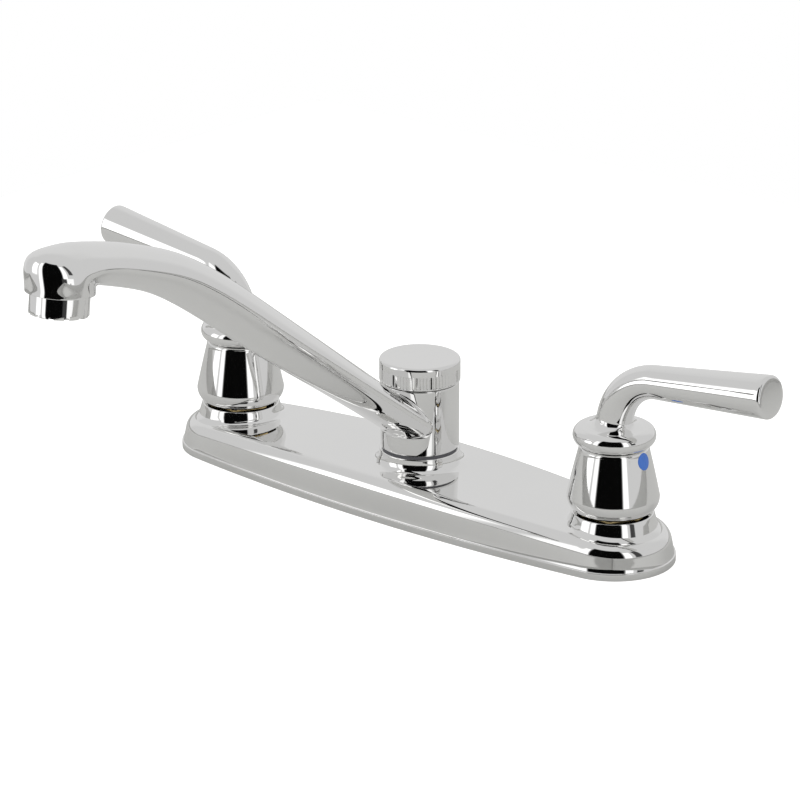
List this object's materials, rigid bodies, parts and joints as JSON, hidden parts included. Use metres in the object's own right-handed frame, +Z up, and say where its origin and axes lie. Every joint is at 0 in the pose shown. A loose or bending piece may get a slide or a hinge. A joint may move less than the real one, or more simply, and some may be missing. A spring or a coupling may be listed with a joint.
{
  "type": "two handle kitchen faucet",
  "caption": "Deck-mounted kitchen faucet with a swivel spout, lever handles on bell-shaped skirts, and a lens-shaped cover over brass valve bodies.",
  "frame": {"origin": "on the deck surface, under the spout's swivel axis", "axes": "+X towards the cold handle, -Y towards the user where the spout reaches, +Z up"},
  "size_m": [0.355, 0.255, 0.2107],
  "materials": {
    "polished_chrome": "mirror polished",
    "brass": "as machined",
    "copper": "drawn tube",
    "stainless": "plain",
    "zinc_steel": "zinc plated",
    "black_rubber": "matte",
    "ceramic": "lapped",
    "white_plastic": "moulded",
    "dark_plastic": "moulded",
    "cold_mark": "gloss",
    "hot_mark": "gloss"
  },
  "bodies": {
    "base": {"deck_cover": "polished_chrome", "base_plate": "dark_plastic", "spout_post": "brass", "post_o_rings": "black_rubber", "slip_ring": "dark_plastic", "cap_washer": "white_plastic", "cap_nut": "polished_chrome", "cold_crossover_tube": "copper", "cold_valve_body": "brass", "cold_seat_washer": "black_rubber", "cold_fixed_disc": "ceramic", "cold_cartridge_housing": "brass", "cold_cartridge_o_ring": "black_rubber", "cold_bonnet_nut": "brass", "cold_cover_nut": "brass", "cold_mounting_washer": "zinc_steel", "cold_mounting_nut": "brass", "hot_crossover_tube": "copper", "hot_valve_body": "brass", "hot_seat_washer": "black_rubber", "hot_fixed_disc": "ceramic", "hot_cartridge_housing": "brass", "hot_cartridge_o_ring": "black_rubber", "hot_bonnet_nut": "brass", "hot_cover_nut": "brass", "hot_mounting_washer": "zinc_steel", "hot_mounting_nut": "brass"},
    "spout": {"spout": "polished_chrome", "aerator_housing": "polished_chrome", "aerator_insert": "white_plastic", "aerator_screen": "stainless", "aerator_washer": "black_rubber"},
    "cold_handle": {"cold_skirt": "polished_chrome", "cold_lever": "polished_chrome", "cold_set_screw": "stainless", "cold_index_plug": "cold_mark", "cold_stem": "brass", "cold_stem_o_ring": "black_rubber", "cold_stem_clip": "stainless", "cold_moving_disc": "ceramic"},
    "hot_handle": {"hot_skirt": "polished_chrome", "hot_lever": "polished_chrome", "hot_set_screw": "stainless", "hot_index_plug": "hot_mark", "hot_stem": "brass", "hot_stem_o_ring": "black_rubber", "hot_stem_clip": "stainless", "hot_moving_disc": "ceramic"}
  },
  "joints": [
    {"name": "spout_swing", "type": "hinge", "parent": "base", "child": "spout", "pos_m": [0, 0, 0], "axis": [0, 0, 1], "continuous": true},
    {"name": "cold_turn", "type": "hinge", "parent": "base", "child": "cold_handle", "pos_m": [0.1016, 0, 0], "axis": [0, 0, 1], "range_deg": [-90, 0]},
    {"name": "hot_turn", "type": "hinge", "parent": "base", "child": "hot_handle", "pos_m": [-0.1016, 0, 0], "axis": [0, 0, 1], "range_deg": [0, 90]}
  ]
}
